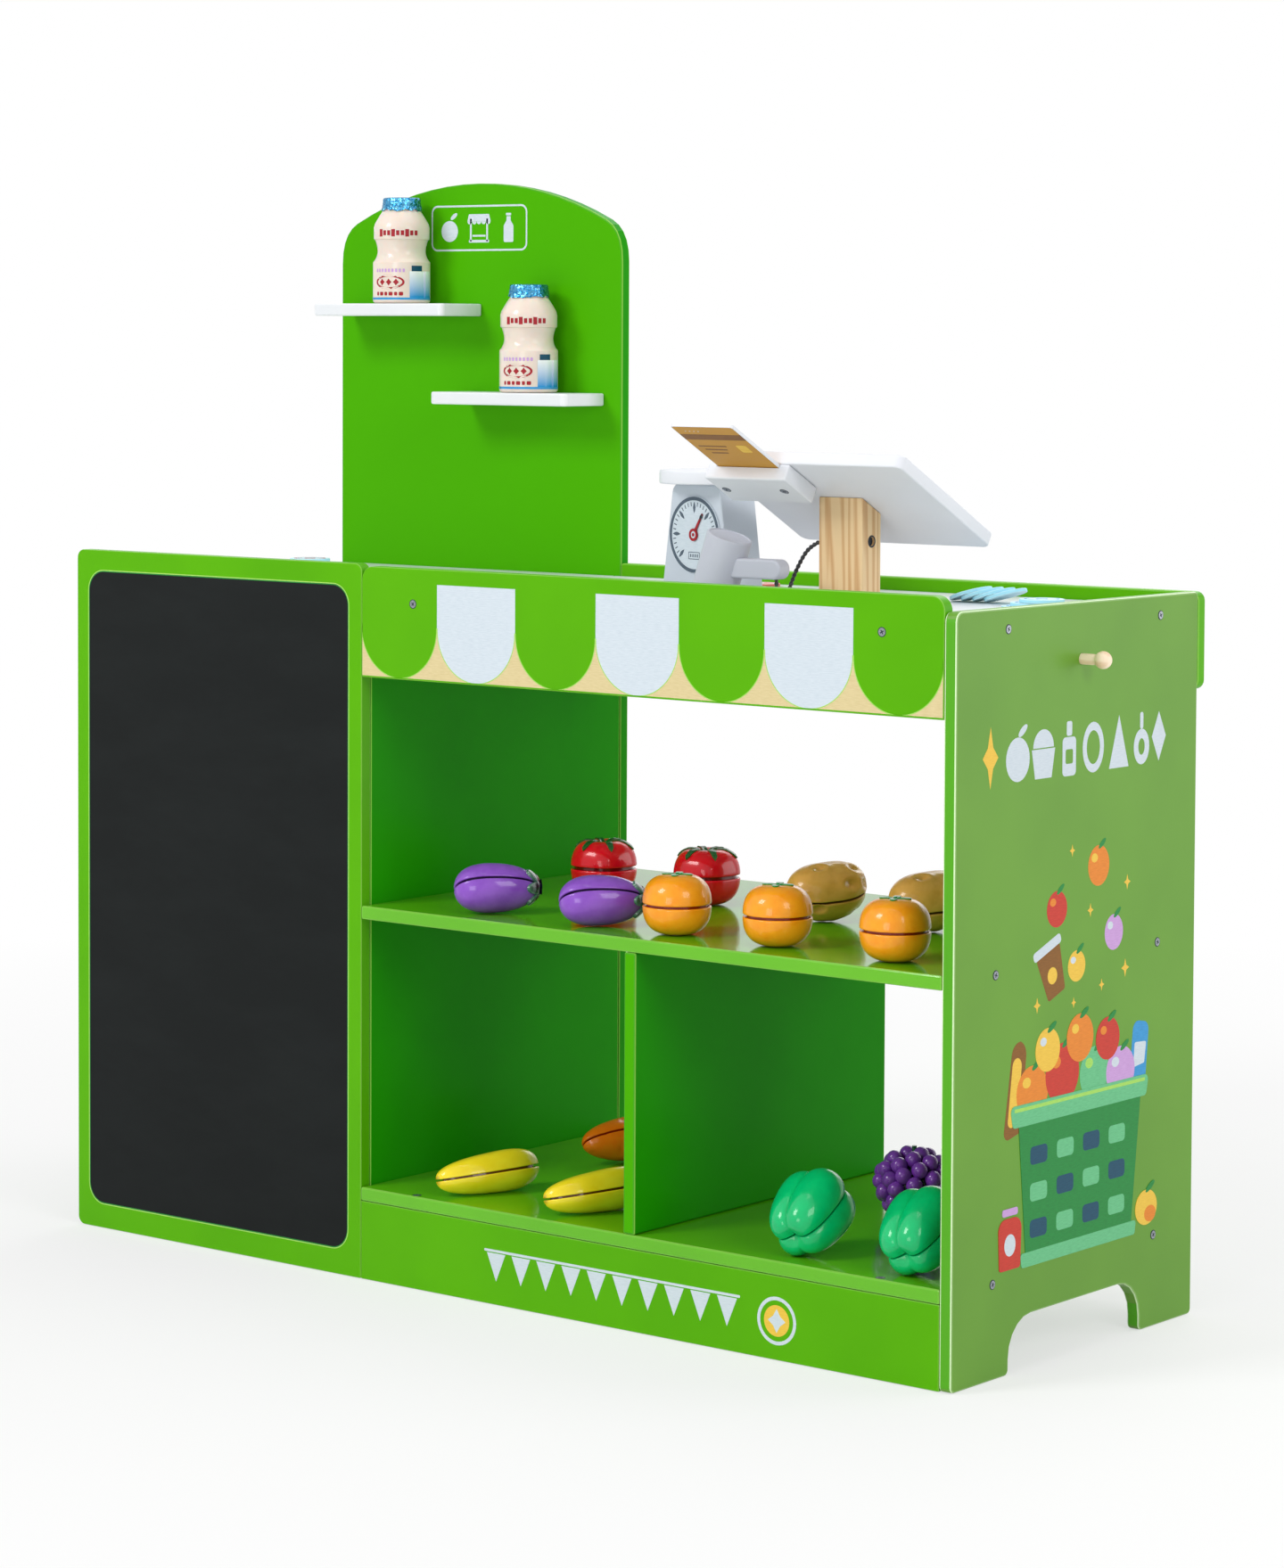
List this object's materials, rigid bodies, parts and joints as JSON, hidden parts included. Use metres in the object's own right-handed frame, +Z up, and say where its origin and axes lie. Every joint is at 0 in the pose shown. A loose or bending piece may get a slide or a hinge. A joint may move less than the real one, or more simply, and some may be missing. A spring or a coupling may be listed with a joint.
{
  "type": "toy grocery store",
  "caption": "Free-standing toy grocery store: painted board counter with open shelves, tall back panel, chalkboard, register, play scale, tied scanner, coins, bottles and play food.",
  "frame": {"origin": "on the floor, under the middle of the overall box", "axes": "+Z up, +X towards the end with the side panel and peg, the customer's side faces -Y"},
  "size_m": [1.0278, 0.372, 0.985],
  "materials": {
    "green_paint": "satin enamel on board",
    "white_paint": "satin enamel on board",
    "grey_paint": "satin enamel on turned and sawn wood",
    "chalk_black": "matt blackboard paint",
    "pine": "bare planed pine",
    "beech": "bare turned beech",
    "ochre_paint": "satin enamel on thin plywood",
    "red_paint": "satin enamel on thin plywood",
    "black_rope": "twisted cord",
    "pale_blue_coin": "printed satin on thin wood",
    "coral_coin": "satin enamel on thin wood",
    "milky_plastic": "blown translucent plastic",
    "blue_foil": "crinkled metallic foil over plastic",
    "purple_plastic": "glossy moulded plastic",
    "tomato_plastic": "glossy moulded plastic",
    "orange_plastic": "glossy moulded plastic",
    "tan_plastic": "glossy moulded plastic",
    "yellow_plastic": "glossy moulded plastic",
    "carrot_plastic": "glossy moulded plastic",
    "pepper_plastic": "glossy moulded plastic",
    "grape_plastic": "glossy moulded plastic"
  },
  "bodies": {
    "cabinet": {"chalkboard_panel": "green_paint", "tall_back_panel": "green_paint", "back_rail": "green_paint", "right_side_panel": "green_paint", "plinth": "green_paint", "valance": "green_paint", "mid_shelf": "green_paint", "bottom_shelf": "green_paint", "middle_divider": "green_paint", "module_divider": "green_paint", "left_mid_shelf": "green_paint", "left_bottom_board": "green_paint", "counter_top": "white_paint", "left_counter_top": "white_paint", "wall_shelf_upper": "white_paint", "wall_shelf_lower": "white_paint", "register_panel": "white_paint", "card_reader": "white_paint", "scale_platform": "white_paint", "scale_dial": "white_paint", "scale_body": "grey_paint", "chalkboard": "chalk_black", "register_post": "pine", "hook_peg": "beech", "tether_rope": "black_rope"},
    "bank_card": {"bank_card": "ochre_paint"},
    "scanner": {"scanner_barrel": "grey_paint", "scanner_handle": "grey_paint"},
    "scale_pointer": {"scale_pointer": "red_paint"},
    "bottle_upper": {"bottle_upper": "milky_plastic", "bottle_upper_cap": "blue_foil"},
    "bottle_lower": {"bottle_lower": "milky_plastic", "bottle_lower_cap": "blue_foil"},
    "coin_stack": {"coin_stack": "pale_blue_coin"},
    "leaning_coins": {"leaning_coin_1": "pale_blue_coin", "leaning_coin_2": "pale_blue_coin", "leaning_coin_3": "pale_blue_coin", "leaning_coin_4": "pale_blue_coin"},
    "lying_coins": {"lying_coin_1": "pale_blue_coin", "lying_coin_2": "pale_blue_coin", "lying_coin_3": "pale_blue_coin"},
    "coral_coin": {"coral_coin": "coral_coin"},
    "eggplant_left": {"eggplant_left": "purple_plastic"},
    "eggplant_right": {"eggplant_right": "purple_plastic"},
    "orange_left": {"orange_left": "orange_plastic"},
    "orange_middle": {"orange_middle": "orange_plastic"},
    "orange_right": {"orange_right": "orange_plastic"},
    "banana_left": {"banana_left": "yellow_plastic"},
    "banana_right": {"banana_right": "yellow_plastic"},
    "pepper_left": {"pepper_left": "pepper_plastic"},
    "pepper_right": {"pepper_right": "pepper_plastic"},
    "tomato_left": {"tomato_left": "tomato_plastic"},
    "tomato_right": {"tomato_right": "tomato_plastic"},
    "potato_left": {"potato_left": "tan_plastic"},
    "potato_right": {"potato_right": "tan_plastic"},
    "carrot": {"carrot": "carrot_plastic"},
    "grapes": {"grapes": "grape_plastic"}
  },
  "joints": [
    {"name": "card_slide", "type": "slide", "parent": "cabinet", "child": "bank_card", "axis": [0, -0.8829, 0.4695], "range_m": [0, 0.06]},
    {"name": "scanner_lift", "type": "slide", "parent": "cabinet", "child": "scanner", "axis": [-0.5, -0.5, 0.7071], "range_m": [0, 0.08]},
    {"name": "pointer_turn", "type": "hinge", "parent": "cabinet", "child": "scale_pointer", "pos_m": [0.08061, -0.0056, 0.6633], "axis": [-0.1994, -0.9799, 0], "continuous": true},
    {"name": "bottle_upper_lift", "type": "slide", "parent": "cabinet", "child": "bottle_upper", "axis": [0, 0, 1], "range_m": [0, 0.08]},
    {"name": "bottle_lower_lift", "type": "slide", "parent": "cabinet", "child": "bottle_lower", "axis": [0, 0, 1], "range_m": [0, 0.08]},
    {"name": "coin_stack_lift", "type": "slide", "parent": "cabinet", "child": "coin_stack", "axis": [0, 0, 1], "range_m": [0, 0.06]},
    {"name": "leaning_coins_lift", "type": "slide", "parent": "cabinet", "child": "leaning_coins", "axis": [0, 0, 1], "range_m": [0, 0.06]},
    {"name": "lying_coins_lift", "type": "slide", "parent": "cabinet", "child": "lying_coins", "axis": [0, 0, 1], "range_m": [0, 0.06]},
    {"name": "coral_coin_lift", "type": "slide", "parent": "cabinet", "child": "coral_coin", "axis": [0, 0, 1], "range_m": [0, 0.06]},
    {"name": "eggplant_left_slide", "type": "slide", "parent": "cabinet", "child": "eggplant_left", "axis": [0, -1, 0], "range_m": [0, 0.12]},
    {"name": "eggplant_right_slide", "type": "slide", "parent": "cabinet", "child": "eggplant_right", "axis": [0, -1, 0], "range_m": [0, 0.12]},
    {"name": "orange_left_slide", "type": "slide", "parent": "cabinet", "child": "orange_left", "axis": [0, -1, 0], "range_m": [0, 0.12]},
    {"name": "orange_middle_slide", "type": "slide", "parent": "cabinet", "child": "orange_middle", "axis": [0, -1, 0], "range_m": [0, 0.12]},
    {"name": "orange_right_slide", "type": "slide", "parent": "cabinet", "child": "orange_right", "axis": [0, -1, 0], "range_m": [0, 0.12]},
    {"name": "banana_left_slide", "type": "slide", "parent": "cabinet", "child": "banana_left", "axis": [0, -1, 0], "range_m": [0, 0.12]},
    {"name": "banana_right_slide", "type": "slide", "parent": "cabinet", "child": "banana_right", "axis": [0, -1, 0], "range_m": [0, 0.12]},
    {"name": "pepper_left_slide", "type": "slide", "parent": "cabinet", "child": "pepper_left", "axis": [0, -1, 0], "range_m": [0, 0.12]},
    {"name": "pepper_right_slide", "type": "slide", "parent": "cabinet", "child": "pepper_right", "axis": [0, -1, 0], "range_m": [0, 0.12]},
    {"name": "tomato_left_slide", "type": "slide", "parent": "cabinet", "child": "tomato_left", "axis": [0, 1, 0], "range_m": [0, 0.22]},
    {"name": "tomato_right_slide", "type": "slide", "parent": "cabinet", "child": "tomato_right", "axis": [0, 1, 0], "range_m": [0, 0.22]},
    {"name": "potato_left_slide", "type": "slide", "parent": "cabinet", "child": "potato_left", "axis": [0, 1, 0], "range_m": [0, 0.22]},
    {"name": "potato_right_slide", "type": "slide", "parent": "cabinet", "child": "potato_right", "axis": [0, 1, 0], "range_m": [0, 0.22]},
    {"name": "carrot_slide", "type": "slide", "parent": "cabinet", "child": "carrot", "axis": [0, 1, 0], "range_m": [0, 0.22]},
    {"name": "grapes_slide", "type": "slide", "parent": "cabinet", "child": "grapes", "axis": [0, 1, 0], "range_m": [0, 0.22]}
  ]
}
